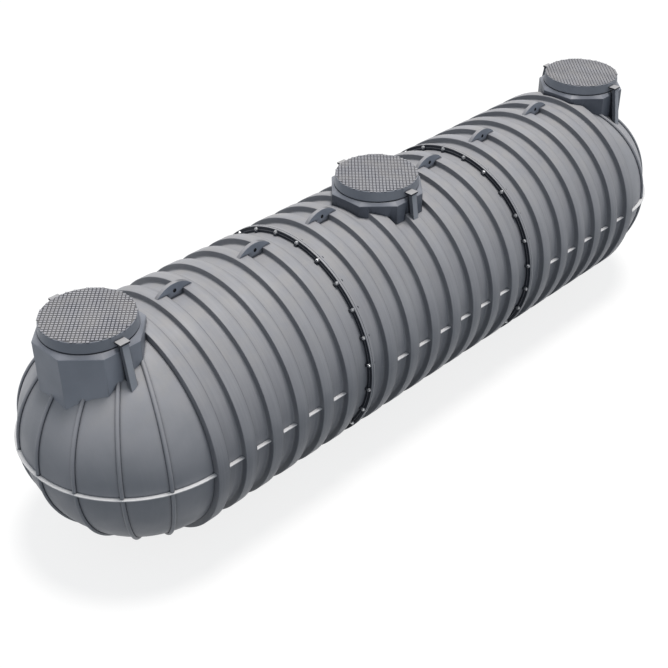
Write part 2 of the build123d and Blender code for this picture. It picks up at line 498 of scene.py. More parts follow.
@dataclass(frozen=True)
class Plastic:
    """Rough moulded plastic with grain, hoops, dust and rubbed edges, and painted shade in corners
    and on faces that look along the tank.

    Its colours are given in 0-255 display levels.
    """

    name: str
    colour: Colour
    dark: Colour
    worn: Colour
    dust: Colour = (176, 173, 170)
    dust_amount: float = 0.5
    streak_strength: float = 0.0
    wear_strength: float = 0.6
    # Colour of the painted shade, and how much of it is painted in corners and on faces that look
    # along the tank.
    grime: Colour = (52, 56, 64)
    grime_amount: float = 0.6
    film_amount: float = 0.0
    grain_height: float = 0.0006
    grain_strength: float = 0.6
    roughness: float = 0.46
    roughness_range: float = 0.12
    dust_roughness: float = 0.25
    specular: float = 0.34

    def build(self, effects: Effects) -> Material:
        """Make the material.

        Args:
            effects: the shared groups.

        Returns:
            The finished material.
        """
        material, bench, shader = new_material(self.name)
        grain = bench.effect(effects.grain)
        hoop = bench.math("MULTIPLY", bench.effect(effects.streaks)["Mask"], self.streak_strength)
        mottle = bench.math("MULTIPLY", grain["Mottle"], 1 - self.streak_strength)
        tone = bench.math("ADD", hoop, mottle)
        dust = bench.effect(effects.dust, Amount=self.dust_amount)["Mask"]
        wear = bench.math("MULTIPLY", bench.effect(effects.wear)["Mask"], self.wear_strength)
        # Painted shade: in corners, and on faces that look along the tank.
        grime = bench.effect(effects.grime, Amount=self.grime_amount)["Mask"]
        if self.film_amount:
            film = bench.effect(effects.film, Amount=self.film_amount)["Mask"]
            grime = bench.math("MAXIMUM", grime, film)
        colour = bench.blend(tone, shade(self.dark), shade(self.colour))
        for mask, layer in ((dust, self.dust), (wear, self.worn), (grime, self.grime)):
            colour = bench.blend(mask, colour, shade(layer))
        roughest = self.roughness + self.roughness_range / 2
        rough = bench.math("MULTIPLY_ADD", tone, -self.roughness_range, roughest)
        dusty = bench.math("MULTIPLY", dust, self.dust_roughness)
        relief = bench.math("ADD", grain["Height"], hoop)
        bump = bench.add("Bump", Strength=self.grain_strength, Distance=self.grain_height)
        bench.fill(bump, Height=relief)
        bench.fill(
            shader,
            Base_Color=colour,
            Roughness=bench.math("ADD", rough, dusty, clamp=True),
            Specular_IOR_Level=self.specular,
            Normal=bump.outputs["Normal"],
        )
        return material


@dataclass(frozen=True)
class Steel:
    """Plated steel of the bolts, with dull blotches."""

    name: str
    colour: Colour = (226, 228, 230)
    dull: Colour = (150, 152, 156)
    grain: float = 600.0
    blotches: float = 60.0
    grain_height: float = 0.0002
    grain_strength: float = 0.3
    roughness: float = 0.46
    roughness_range: float = 0.18
    metallic: float = 0.85

    def build(self, effects: Effects) -> Material:
        """Make the material.

        Args:
            effects: the shared groups.

        Returns:
            The finished material.
        """
        material, bench, shader = new_material(self.name)
        grain = bench.effect(effects.grain, Grain=self.grain, Mottle_Size=self.blotches)
        mottle = grain["Mottle"]
        bump = bench.add("Bump", Strength=self.grain_strength, Distance=self.grain_height)
        bench.fill(bump, Height=grain["Height"])
        bench.fill(
            shader,
            Base_Color=bench.blend(mottle, shade(self.dull), shade(self.colour)),
            Roughness=bench.math("MULTIPLY_ADD", mottle, -self.roughness_range, self.roughness),
            Normal=bump.outputs["Normal"],
            Metallic=self.metallic,
        )
        return material


def bevel(
    bm: BMesh, geom: list[Any], size: float, segments: int = 2, affect: Affect = Affect.EDGES
) -> None:
    """Round some edges, or some corners of a wire outline.

    Args:
        bm: the mesh.
        geom: its edges or corners.
        size: width of the bevel.
        segments: its steps.
        affect: whether edges or corners are given.
    """
    bmesh.ops.bevel(
        bm,
        geom=geom,
        offset=size,
        offset_type="OFFSET",
        segments=segments,
        profile=0.5,
        affect=affect.value,
        material=-1,
        clamp_overlap=True,
    )


def round_edges(bm: BMesh, size: float, angle: float = 30.0) -> None:
    """Bevel every edge that is sharper than an angle in degrees."""
    limit = math.radians(angle)
    bevel(bm, [e for e in bm.edges if e.is_manifold and e.calc_face_angle(0.0) > limit], size)


def close_holes(bm: BMesh) -> None:
    """Fill every open loop of a mesh."""
    rim = [edge for edge in bm.edges if edge.is_boundary]
    if rim:
        bmesh.ops.holes_fill(bm, edges=rim, sides=0)


def tidy(bm: BMesh) -> None:
    """Merge doubles and turn the faces outwards."""
    bmesh.ops.remove_doubles(bm, verts=bm.verts[:], dist=MERGE_DISTANCE)
    bmesh.ops.recalc_face_normals(bm, faces=bm.faces[:])


def wire(bm: BMesh, points: list[Vector], closed: bool = True) -> list[BMVert]:
    """Join a few corner points with edges.

    Args:
        bm: the mesh to add to.
        points: the corners in order.
        closed: join the last corner to the first.

    Returns:
        The corners.
    """
    corners = [bm.verts.new(point) for point in points]
    for pair in zip(corners, corners[1:]):
        bm.edges.new(pair)
    if closed:
        bm.edges.new((corners[-1], corners[0]))
    return corners


def outline(bm: BMesh, points: list[Point]) -> list[BMVert]:
    """Draw a closed outline at the axis' height from pairs of X and radius."""
    return wire(bm, [Vector((x, radius, LAYOUT.axis_height)) for x, radius in points])


def shift(bm: BMesh, way: Any, verts: list[BMVert] | None = None) -> None:
    """Move a mesh, or some of its vertices."""
    bmesh.ops.translate(bm, verts=verts or bm.verts[:], vec=way)


def swing(
    bm: BMesh, angle: float, axis: Any, verts: list[BMVert] | None = None, centre: Vector = ORIGIN
) -> None:
    """Turn a mesh, or some of its vertices.

    Args:
        bm: the mesh.
        angle: how far, in radians.
        axis: the axis' letter or direction.
        verts: the vertices, all if not given.
        centre: a point on the axis.
    """
    turn = Matrix.Rotation(angle, 3, axis)
    bmesh.ops.rotate(bm, verts=verts or bm.verts[:], cent=centre, matrix=turn)


def revolve(bm: BMesh, centre: Vector, axis: Vector, degrees: float, steps: int) -> None:
    """Spin all that the mesh holds about an axis.

    Args:
        bm: the mesh, which holds only the outline.
        centre: a point on the axis.
        axis: the axis' direction.
        degrees: how far to turn.
        steps: the number of steps.
    """
    bmesh.ops.spin(
        bm,
        geom=bm.verts[:] + bm.edges[:] + bm.faces[:],
        cent=centre,
        axis=axis,
        angle=math.radians(degrees),
        steps=steps,
        use_merge=abs(degrees) >= 360,
        use_duplicate=False,
    )


def thicken(bm: BMesh, faces: list[BMFace]) -> list[BMVert]:
    """Join some faces to a copy of themselves by walls.

    Args:
        bm: the mesh.
        faces: the faces, which stay.

    Returns:
        The copy's vertices, still to be moved.
    """
    grown = bmesh.ops.extrude_face_region(bm, geom=faces, use_keep_orig=True)["geom"]
    return [item for item in grown if isinstance(item, BMVert)]


def push_out(bm: BMesh, way: Triple, size: float) -> None:
    """Fill a mesh's one outline, push it out and round the edges.

    Args:
        bm: the mesh, which holds only the outline.
        way: how far to push.
        size: width of the edges' bevel.
    """
    face = bmesh.ops.contextual_create(bm, geom=bm.edges[:])["faces"]
    shift(bm, way, thicken(bm, face))
    tidy(bm)
    round_edges(bm, size)


def block(size: Triple, middle: Vector) -> BMesh:
    """A box of a given size along each axis, about its middle."""
    bm = bmesh.new()
    bmesh.ops.create_cube(bm, size=1.0)
    bmesh.ops.scale(bm, verts=bm.verts[:], vec=size)
    shift(bm, middle)
    return bm


def cut_level(bm: BMesh, place: Vector, normal: Vector) -> None:
    """Cut a closed mesh off at a plane and close it again.

    Args:
        bm: the mesh.
        place: a point of the plane.
        normal: towards the part that stays.
    """
    bmesh.ops.bisect_plane(
        bm,
        geom=bm.verts[:] + bm.edges[:] + bm.faces[:],
        dist=0.000001,
        plane_co=place,
        plane_no=normal,
        clear_inner=True,
    )
    close_holes(bm)
    tidy(bm)


def take_in(bm: BMesh, part: BMesh) -> list[BMVert]:
    """Move one mesh into another.

    Args:
        bm: the mesh that grows.
        part: the mesh that is added and freed.

    Returns:
        The vertices that came in.
    """
    spare = bpy.data.meshes.new("part")
    part.to_mesh(spare)
    part.free()
    before = len(bm.verts)
    bm.from_mesh(spare)
    bpy.data.meshes.remove(spare)
    bm.verts.ensure_lookup_table()
    return bm.verts[before:]


def paint(bm: BMesh, second: Callable[[BMFace], bool]) -> None:
    """Give the second finish to the faces that a test picks, the first to the others."""
    for face in bm.faces:
        face.material_index = int(second(face))


def looks_up(face: BMFace) -> bool:
    """Whether a face looks up."""
    return face.normal.z > UPWARD


def make_object(bm: BMesh, name: str, *finishes: Material) -> Object:
    """Turn a mesh into an object at the origin, smooth but for its sharp edges.

    Args:
        bm: the finished mesh, which is freed.
        name: the object's name.
        finishes: its materials in order.

    Returns:
        The new object.
    """
    mesh = bpy.data.meshes.new(name)
    bm.to_mesh(mesh)
    bm.free()
    for finish in finishes:
        mesh.materials.append(finish)
    mesh.polygons.foreach_set("use_smooth", [True] * len(mesh.polygons))
    mesh.set_sharp_from_angle(angle=CRISP_ANGLE)
    thing = bpy.data.objects.new(name, mesh)
    bpy.context.scene.collection.objects.link(thing)
    return thing


def carve(thing: Object, tools: list[Object]) -> None:
    """Take the shape of other objects out of one, for good."""
    for tool in tools:
        cut = thing.modifiers.new("carve", "BOOLEAN")
        cut.operation = "DIFFERENCE"
        cut.solver = "EXACT"
        cut.material_mode = "TRANSFER" if tool.material_slots else "INDEX"
        cut.object = tool
    graph = bpy.context.evaluated_depsgraph_get()
    carved = bpy.data.meshes.new_from_object(thing.evaluated_get(graph))
    plain = thing.data
    thing.modifiers.clear()
    thing.data = carved
    bpy.data.meshes.remove(plain)


def lead_normals(mesh: Mesh) -> None:
    """Let large faces lead the shading of the narrow ones beside them.

    Args:
        mesh: a finished mesh; vertices on its sharp edges stay as they are.
    """
    sums = [Vector() for _ in mesh.vertices]
    for polygon in mesh.polygons:
        for index in polygon.vertices:
            sums[index] += polygon.normal * polygon.area
    for edge in mesh.edges:
        if edge.use_edge_sharp:
            for index in edge.vertices:
                sums[index] = Vector()
    mesh.normals_split_custom_set_from_vertices([tuple(total.normalized()) for total in sums])


def install(piece: Object, slot: str, *nodes: str) -> None:
    """Fix a piece to the tank and hide the CAD nodes that it replaces.

    Args:
        piece: the finished piece.
        slot: not used.
        nodes: the CAD nodes that it replaces.
    """
    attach(piece, "root")
    if nodes:
        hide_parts(*nodes)
    log.info("%s: %d faces", piece.name, len(piece.data.polygons))


@dataclass
class Barrel:
    """One module's ringed wall in two halves, and the ledge between its rings."""

    side: Side
    crest_fillet: float = 0.008
    crest_steps: int = 3
    crest_spread: float = 0.002
    foot_fillet: float = 0.020
    foot_steps: int = 4
    ledge_root: float = 0.006
    ledge_corner: float = 0.012
    ledge_corner_steps: int = 5
    ledge_edge: float = 0.0045
    ledge_edge_angle: float = 60.0
    ledge_sink: float = 0.004
    steps: int = 96

    def wall(self, sink: float = 0.0) -> list[Point]:
        """Corners of the ringed wall seen from the side.

        Args:
            sink: how much to take off every radius.

        Returns:
            Pairs of X and radius, lowest X first.
        """
        start, end = LAYOUT.ends(self.side)
        valley, crest = LAYOUT.valley_radius - sink, LAYOUT.crest_radius - sink
        foot, half = LAYOUT.half_foot, LAYOUT.crest_width / 2 + self.crest_spread
        corners: list[Point] = []
        for centre in LAYOUT.rings(self.side):
            corners += [(centre - foot, valley), (centre - half, crest)]
            corners += [(centre + half, crest), (centre + foot, valley)]
        if self.side is not Side.NEAR:
            corners.insert(0, (start, valley))
        if self.side is not Side.FAR:
            corners.append((end, valley))
        return corners

    def half_shell(self, half: Half) -> BMesh:
        """Spin one half of the wall.

        Args:
            half: which half.

        Returns:
            A closed mesh.
        """
        start, end = LAYOUT.ends(self.side)
        inner = LAYOUT.inner_radius
        bm = bmesh.new()
        outer = self.wall()
        soft = outline(bm, [*outer, (end, inner), (start, inner)])[1 : len(outer) - 1]
        between = (LAYOUT.crest_radius + LAYOUT.valley_radius) / 2
        crests = [v for v in soft if v.co.y > between]
        feet = [v for v in soft if v.co.y < between]
        bevel(bm, crests, self.crest_fillet, self.crest_steps, Affect.CORNERS)
        bevel(bm, feet, self.foot_fillet, self.foot_steps, Affect.CORNERS)
        revolve(bm, MID_POINT, ALONG, 180 * half.value, self.steps)
        close_holes(bm)
        tidy(bm)
        if half is Half.LOWER:
            cut_level(bm, ORIGIN, UP)
        return bm

    def ledge_spans(self) -> list[Point]:
        """Where the ledge runs from ring to ring, as pairs of lowest and highest X."""
        half = LAYOUT.crest_width / 2 - self.ledge_sink
        rings = LAYOUT.rings(self.side)
        return [(low + half, high - half) for low, high in zip(rings, rings[1:])]

    def ledge_bars(self) -> BMesh:
        """The ledge's bars on both sides of the tank.

        Returns:
            A mesh of closed bars with rounded corners.
        """
        root = LAYOUT.valley_radius - self.ledge_root
        tip = LAYOUT.valley_radius + LAYOUT.ledge_reach
        height = LAYOUT.axis_height - LAYOUT.ledge_thickness / 2
        bm = bmesh.new()
        for low, high in self.ledge_spans():
            for way in (-1, 1):
                size = (high - low, tip - root, LAYOUT.ledge_thickness)
                bar = block(size, Vector(((low + high) / 2, way * (root + tip) / 2, height)))
                limit = tip - self.ledge_edge
                outer = [e for e in bar.edges if all(way * v.co.y > limit for v in e.verts)]
                rise = [abs(e.verts[0].co.z - e.verts[1].co.z) for e in outer]
                upright = [e for e, high_by in zip(outer, rise) if high_by > self.ledge_edge]
                bevel(bar, upright, self.ledge_corner, self.ledge_corner_steps)
                round_edges(bar, self.ledge_edge, self.ledge_edge_angle)
                take_in(bm, bar)
        return bm

    def core(self) -> BMesh:
        """The filled upper half, used to fit what stands on it.

        Returns:
            A closed mesh, a little smaller than the wall.
        """
        bm = bmesh.new()
        outer = self.wall(CORE_SINK)
        outline(bm, [*outer, (outer[-1][0], 0.0), (outer[0][0], 0.0)])
        revolve(bm, MID_POINT, ALONG, 180, self.steps)
        tidy(bm)
        close_holes(bm)
        tidy(bm)
        return bm

    def build(self, looks: Looks) -> None:
        """Make both halves and the ledge."""
        name = self.side.label + "_barrel_"
        for half in Half:
            node = name + half.label
            piece = make_object(self.half_shell(half), node + "_ringed", looks["shell_plastic"])
            install(piece, "shell", node)
        install(make_object(self.ledge_bars(), name + "ledge", looks["ledge_plastic"]), "shell")


@dataclass
class Dome:
    """A domed end in two quarters, with its ledge and the beads that run over it."""

    side: Side
    bead_radius: float = 0.019
    bead_height: float = 0.026
    bead_step: float = 22.5
    bead_sides: int = 14
    bead_steps: int = 24
    beads_each_side: int = 3
    neck_entry: float = 0.012
    lower_reach: float = 75.0
    lower_drop: float = 0.25
    lip_root: float = 0.006
    lip_edge: float = 0.003
    lip_sink: float = 0.004
    steps: int = 36

    @property
    def centre(self) -> Vector:
        """Centre of the dome's sphere."""
        return Vector((self.side.value * LAYOUT.dome_x, 0, LAYOUT.axis_height))

    def quarter(self, half: Half) -> BMesh:
        """Spin one quarter of the sphere and give it its wall.

        Args:
            half: which half.

        Returns:
            A closed mesh.
        """
        radius = LAYOUT.dome_radius
        lean = math.asin((LAYOUT.seam_x - LAYOUT.dome_x) / radius)
        bm = bmesh.new()
        reach = Vector((self.side.value * math.sin(lean), math.cos(lean), 0)) * radius
        bm.verts.new(self.centre + reach)
        turn = -self.side.value * (90 - math.degrees(lean))
        revolve(bm, self.centre, UP, turn, self.steps)
        revolve(bm, self.centre, ALONG, 180 * half.value, 2 * self.steps)
        tidy(bm)
        inner = thicken(bm, bm.faces[:])
        shrink = LAYOUT.inner_radius / LAYOUT.valley_radius
        about = Matrix.Translation(-self.centre)
        bmesh.ops.scale(bm, verts=inner, vec=(shrink,) * 3, space=about)
        tidy(bm)
        return bm

    def lip(self) -> BMesh:
        """The ledge round the dome, which starts in the ring beside it.

        Returns:
            A closed mesh.
        """
        inner = LAYOUT.dome_radius - self.lip_root
        outer = LAYOUT.dome_radius + LAYOUT.ledge_reach
        drop = -LAYOUT.ledge_thickness
        bm = bmesh.new()
        sketch = [(inner, drop), (outer, drop), (outer, 0.0), (inner, 0.0)]
        points = [self.centre + Vector((0, -radius, height)) for radius, height in sketch]
        bevel(bm, wire(bm, points)[1:3], self.lip_edge, affect=Affect.CORNERS)
        revolve(bm, self.centre, UP, 180 * self.side.value, 4 * self.steps)
        close_holes(bm)
        tidy(bm)
        outwards = ALONG * self.side.value
        cut_level(bm, outwards * (LAYOUT.seam_x - self.lip_sink), outwards)
        return bm

    def bead_reach(self, heading: float, radius: float) -> float:
        """How far up a bead runs before it meets the neck.

        Args:
            heading: the bead's turn from straight outwards, in radians.
            radius: the bead's radius about the dome's centre.

        Returns:
            The angle in degrees.
        """
        offset = LAYOUT.neck_offset - LAYOUT.dome_offset
        clear = LAYOUT.neck_apothem - self.neck_entry
        ahead = offset * math.cos(heading)
        meet = ahead + math.sqrt(ahead**2 - offset**2 + clear**2)
        return math.degrees(math.acos(meet / radius))

    def beads(self, half: Half) -> BMesh:
        """All beads of one half, as round rods let into the sphere.

        Args:
            half: which half.

        Returns:
            A mesh of closed rods.
        """
        radius = LAYOUT.dome_radius + self.bead_height - self.bead_radius
        bm = bmesh.new()
        for index in range(-self.beads_each_side, self.beads_each_side + 1):
            heading = math.radians(index * self.bead_step)
            out = Vector((self.side.value * math.cos(heading), math.sin(heading), 0))
            axis = out.cross(UP)
            rod = bmesh.new()
            bmesh.ops.create_circle(
                rod, cap_ends=True, segments=self.bead_sides, radius=self.bead_radius
            )
            shift(rod, self.centre + out * radius)
            upper = half is Half.UPPER
            reach = self.bead_reach(heading, radius) if upper else self.lower_reach
            revolve(rod, self.centre, axis, half.value * reach, self.bead_steps)
            if not upper:
                swing(rod, math.radians(-self.lower_drop), axis, centre=self.centre)
            tidy(rod)
            take_in(bm, rod)
        return bm

    def core(self) -> BMesh:
        """The filled dome, used to fit what stands on it.

        Returns:
            A closed mesh, a little smaller than the dome.
        """
        bm = bmesh.new()
        radius = LAYOUT.dome_radius - CORE_SINK
        bmesh.ops.create_uvsphere(
            bm, u_segments=4 * self.steps, v_segments=2 * self.steps, radius=radius
        )
        shift(bm, self.centre)
        return bm

    def build(self, looks: Looks) -> None:
        """Make both quarters, their beads and the ledge."""
        name = self.side.label + "_dome_"
        shell = looks["dome_plastic"]
        for half in Half:
            node = name + half.label
            install(make_object(self.quarter(half), node + "_quarter", shell), "shell", node)
            install(make_object(self.beads(half), node + "_beads", shell), "shell")
        install(make_object(self.lip(), name + "ledge", looks["ledge_plastic"]), "shell")


@dataclass
class Joint:
    """A pair of bolted flanges between two modules."""

    side: Side
    root: float = 0.004
    edge_round: float = 0.003
    bolts: int = 24
    bolt_circle: float = 1.121
    shank_sides: int = 10
    shank_radius: float = 0.009
    shank_reach: float = 0.010
    shank_chamfer: float = 0.002
    head_sides: int = 6
    head_radius: float = 0.018
    head_height: float = 0.014
    head_chamfer: float = 0.003
    washer_sides: int = 16
    washer_radius: float = 0.022
    washer_thickness: float = 0.004
    washer_chamfer: float = 0.001
    # A dark block below each head and nut, a painted shadow:
    pad_reach: float = 0.026
    pad_width: float = 0.034
    pad_depth: float = 0.022
    pad_drop: float = 0.027
    pad_round: float = 0.004
    groove_radii: Point = (1.109, 1.117)
    groove_depth: float = 0.003
    steps: int = 192

    @property
    def place(self) -> float:
        """Where the joint is along X."""
        return self.side.value * LAYOUT.joint_x

    def ring(self, hidden: float, free: float) -> BMesh:
        """One flange as a full ring, its free face dark with a shallow groove.

        Args:
            hidden: X of the face that meets the gasket.
            free: X of the face that carries the bolt heads.

        Returns:
            A closed mesh.
        """
        inner, outer = LAYOUT.valley_radius - self.root, LAYOUT.crest_radius
        sunk = free - math.copysign(self.groove_depth, free - hidden)
        low, high = self.groove_radii
        sketch = [(hidden, inner), (free, inner), (free, low), (sunk, low)]
        sketch += [(sunk, high), (free, high), (free, outer), (hidden, outer)]
        bm = bmesh.new()
        rim = outline(bm, sketch)[6]
        bevel(bm, [rim], self.edge_round, affect=Affect.CORNERS)
        revolve(bm, MID_POINT, ALONG, 360, self.steps)
        tidy(bm)
        cut_level(bm, ORIGIN, UP)

        def dark(face: BMFace) -> bool:
            """Whether a face is level with the free face or the hidden one."""
            in_groove = abs(face.calc_center_median().x - sunk) < self.groove_depth / 4
            return abs(face.normal.x) > FLAT and not in_groove

        paint(bm, dark)
        return bm

    def disc(self, sides: int, radius: float, start: float, depth: float, chamfer: float) -> BMesh:
        """A washer, head or nut on the X axis.

        Args:
            sides: corners round it.
            radius: corner radius.
            start: X of the face that rests on the flange.
            depth: thickness along X, negative towards the lowest X.
            chamfer: width of the bevel on the free edge.

        Returns:
            A closed mesh.
        """
        bm = bmesh.new()
        bmesh.ops.create_cone(
            bm,
            cap_ends=True,
            cap_tris=False,
            segments=sides,
            radius1=radius,
            radius2=radius,
            depth=abs(depth),
        )
        bevel(bm, [edge for edge in bm.edges if all(v.co.z > 0 for v in edge.verts)], chamfer)
        swing(bm, math.copysign(math.pi / 2, depth), "Y")
        shift(bm, (start + depth / 2, 0, 0))
        return bm

    def bolt(self) -> BMesh:
        """One bolt on the X axis: a bright head, a dark nut, washers, and dark blocks below them
        that are painted shadows.

        Returns:
            A mesh of closed parts.
        """
        face = LAYOUT.flange_face
        bm = bmesh.new()
        for way in (1, -1):
            step = way * self.washer_thickness
            if way == 1:
                start = face + self.washer_thickness + self.head_height
                sizes = (self.shank_sides, self.shank_radius, start)
                take_in(bm, self.disc(*sizes, self.shank_reach, self.shank_chamfer))
            sizes = (self.washer_sides, self.washer_radius, way * face)
            take_in(bm, self.disc(*sizes, step, self.washer_chamfer))
            sizes = (self.head_sides, self.head_radius, way * face + step)
            take_in(bm, self.disc(*sizes, way * self.head_height, self.head_chamfer))
            if way == 1:
                paint(bm, lambda face: True)
            # A dark block below the head or nut: a painted shadow.
            middle = Vector((way * (face + self.pad_reach / 2), 0, -self.pad_drop))
            bolt_shadow = block((self.pad_reach, self.pad_width, self.pad_depth), middle)
            round_edges(bolt_shadow, self.pad_round)
            paint(bolt_shadow, lambda face: True)
            take_in(bm, bolt_shadow)
        return bm

    def bolt_ring(self) -> BMesh:
        """Every bolt of the joint that clears the floor.

        Returns:
            A mesh of closed parts.
        """
        bm = bmesh.new()
        for index in range(self.bolts):
            angle = (index + 0.5) * 2 * math.pi / self.bolts
            if LAYOUT.axis_height + self.bolt_circle * math.cos(angle) < self.washer_radius:
                continue
            fresh = take_in(bm, self.bolt())
            shift(bm, (self.place, 0, self.bolt_circle), fresh)
            swing(bm, angle, "X", fresh)
            shift(bm, MID_POINT, fresh)
        return bm

    def build(self, looks: Looks) -> None:
        """Make the flanges and their bolts, and dress the gasket."""
        name = self.side.label
        rim, dark = looks["flange_plastic"], looks["joint_plastic"]
        for way, label in ((self.side.value, "_end_flange"), (-self.side.value, "_middle_flange")):
            hidden = self.place + way * LAYOUT.half_gasket
            bm = self.ring(hidden, self.place + way * LAYOUT.flange_face)
            install(make_object(bm, name + label + "_ring", rim, dark), "flange", name + label)
        bolts = make_object(self.bolt_ring(), name + "_joint_bolts", looks["bolt_steel"], dark)
        install(bolts, "flange")
        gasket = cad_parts[name + "_joint_gasket"]
        gasket.material_slots[0].material = rim
        log.info("%s gasket dressed", name)


@dataclass
class Neck:
    """An octagonal manhole neck with a shoulder up to a round rim."""

    side: Side
    bore: float = 0.400
    rim_radius: float = 0.438
    corner_round: float = 0.005
    corner_steps: int = 3
    corner_angle: float = 12.0
    corner_height: float = 2.300
    corners: int = 8
    round_steps: int = 64

    def tube(self) -> BMesh:
        """Walls, shoulder, rim and bore.

        Returns:
            A closed mesh from mid height to the cover's seat.
        """
        bm = bmesh.new()
        radius = LAYOUT.neck_apothem / math.cos(OCTAGON_TURN)
        bmesh.ops.create_circle(bm, cap_ends=False, segments=self.corners, radius=radius)
        swing(bm, OCTAGON_TURN, "Z")
        cuts = self.round_steps // self.corners - 1
        bmesh.ops.subdivide_edges(bm, edges=bm.edges[:], cuts=cuts)
        shift(bm, (0, 0, LAYOUT.neck_top))
        shoulder_foot = bm.edges[:]
        walls = bmesh.ops.extrude_edge_only(bm, edges=shoulder_foot)["geom"]
        lower = [item for item in walls if isinstance(item, BMVert)]
        shift(bm, (0, 0, LAYOUT.axis_height - LAYOUT.neck_top), lower)
        edges = [item for item in walls if isinstance(item, BMEdge)]
        loops = [shoulder_foot]
        for radius, height in (
            (self.rim_radius, LAYOUT.cover_seat),
            (self.bore, LAYOUT.cover_seat),
            (self.bore, LAYOUT.axis_height),
        ):
            made = bmesh.ops.create_circle(
                bm, cap_ends=False, segments=self.round_steps, radius=radius
            )["verts"]
            swing(bm, OCTAGON_TURN, "Z", made)
            shift(bm, (0, 0, height), made)
            ring = set(made)
            loops.append([e for e in bm.edges if ring.issuperset(e.verts)])
        loops.append([e for e in edges if all(v in lower for v in e.verts)])
        for first, second in zip(loops, loops[1:]):
            bmesh.ops.bridge_loops(bm, edges=first + second)
        tidy(bm)
        shift(bm, (LAYOUT.neck_x(self.side), 0, 0))
        return bm

    def is_corner(self, edge: BMEdge) -> bool:
        """Whether an edge is one to round: sharp, and not low on the wall."""
        sharp = edge.is_manifold and edge.calc_face_angle(0.0) > math.radians(self.corner_angle)
        return sharp and max(v.co.z for v in edge.verts) > self.corner_height

    def build(self, looks: Looks, cores: list[Object]) -> None:
        """Make the neck and fit it to the shell.

        Args:
            looks: the finishes.
            cores: the filled shells that it stands on.
        """
        bm = self.tube()
        corners = [edge for edge in bm.edges if self.is_corner(edge)]
        bevel(bm, corners, self.corner_round, self.corner_steps)
        # Faces that look up take the shoulder's tone of the same plastic: darker than the near
        # neck's walls and lighter than the others', painted shade and painted light.
        paint(bm, looks_up)
        node = self.side.label + "_neck"
        walls, shoulder = looks[node + "_plastic"], looks["shoulder_plastic"]
        piece = make_object(bm, node + "_octagon", walls, shoulder)
        carve(piece, cores)
        lead_normals(piece.data)
        install(piece, "neck", node)


@dataclass
class Cover:
    """A tapered manhole cover with studs on its top."""

    side: Side
    base_radius: float = 0.434
    top_radius: float = 0.422
    gap_height: float = 0.010
    gap_depth: float = 0.014
    edge_round: float = 0.005
    edge_steps: int = 3
    spigot_radius: float = 0.397
    spigot_depth: float = 0.040
    stud_pitch: float = 0.0338
    stud_width: float = 0.028
    stud_height: float = 0.004
    stud_sink: float = 0.001
    stud_taper: float = 0.86
    stud_margin: float = 0.004
    turn: float = 45.0
    steps: int = 128

    def drum(self) -> BMesh:
        """Spin the drum with its spigot and the shadow gap at its foot.

        Returns:
            A closed mesh.
        """
        seat, top = LAYOUT.cover_seat, LAYOUT.cover_top - self.stud_height
        low, lift = seat - self.spigot_depth, seat + self.gap_height
        waist = self.base_radius - self.gap_depth
        sketch = [
            (0.0, low),
            (self.spigot_radius, low),
            (self.spigot_radius, seat),
            (waist, seat),
            (waist, lift),
            (self.base_radius, lift),
            (self.top_radius, top),
            (0.0, top),
        ]
        middle = LAYOUT.neck_x(self.side)
        bm = bmesh.new()
        points = [Vector((middle + radius, 0, height)) for radius, height in sketch]
        edge = wire(bm, points, closed=False)[5:7]
        bevel(bm, edge, self.edge_round, self.edge_steps, Affect.CORNERS)
        revolve(bm, Vector((middle, 0, 0)), UP, 360, self.steps)
        tidy(bm)
        half = (seat + top) / 2
        # The drum's top takes the dark plastic: painted shade between the studs.
        paint(bm, lambda face: face.normal.z > FLAT and face.calc_center_median().z > half)
        return bm

    def stud(self) -> BMesh:
        """One low square stud at the origin, its top in the second finish.

        Returns:
            A closed mesh.
        """
        bm = bmesh.new()
        bmesh.ops.create_grid(bm, x_segments=1, y_segments=1, size=self.stud_width / 2)
        raised = thicken(bm, bm.faces[:])
        shift(bm, (0, 0, self.stud_height + self.stud_sink), raised)
        bmesh.ops.scale(bm, verts=raised, vec=(self.stud_taper, self.stud_taper, 1.0))
        tidy(bm)
        # The stud's sides keep the dark plastic, painted shade; its top takes a paler tone,
        # painted light.
        paint(bm, lambda face: face.normal.z > FLAT)
        return bm

    def studs(self) -> BMesh:
        """The grid of studs.

        Returns:
            A mesh of closed studs.
        """
        unit = self.stud()
        mesh = bpy.data.meshes.new("stud")
        unit.to_mesh(mesh)
        unit.free()
        bm = bmesh.new()
        reach = self.top_radius - self.edge_round - self.stud_margin
        count = int(reach / self.stud_pitch) + 1
        base = LAYOUT.cover_top - self.stud_height - self.stud_sink
        for row in range(-count, count + 1):
            for column in range(-count, count + 1):
                spot = Vector((row * self.stud_pitch, column * self.stud_pitch, base))
                if math.hypot(spot.x, spot.y) > reach:
                    continue
                before = len(bm.verts)
                bm.from_mesh(mesh)
                bm.verts.ensure_lookup_table()
                shift(bm, spot, bm.verts[before:])
        bpy.data.meshes.remove(mesh)
        swing(bm, math.radians(self.turn), "Z")
        shift(bm, (LAYOUT.neck_x(self.side), 0, 0))
        return bm

    def build(self, looks: Looks) -> None:
        """Make the drum and its studs."""
        node = self.side.label + "_cover"
        # The dark plastic is painted shade between and beside the studs.
        ground = looks["tread_plastic"]
        drum = make_object(self.drum(), node + "_drum", looks["cover_plastic"], ground)
        lead_normals(drum.data)
        install(drum, "cover", node)
        studs = make_object(self.studs(), node + "_studs", ground, looks["stud_plastic"])
        install(studs, "cover")


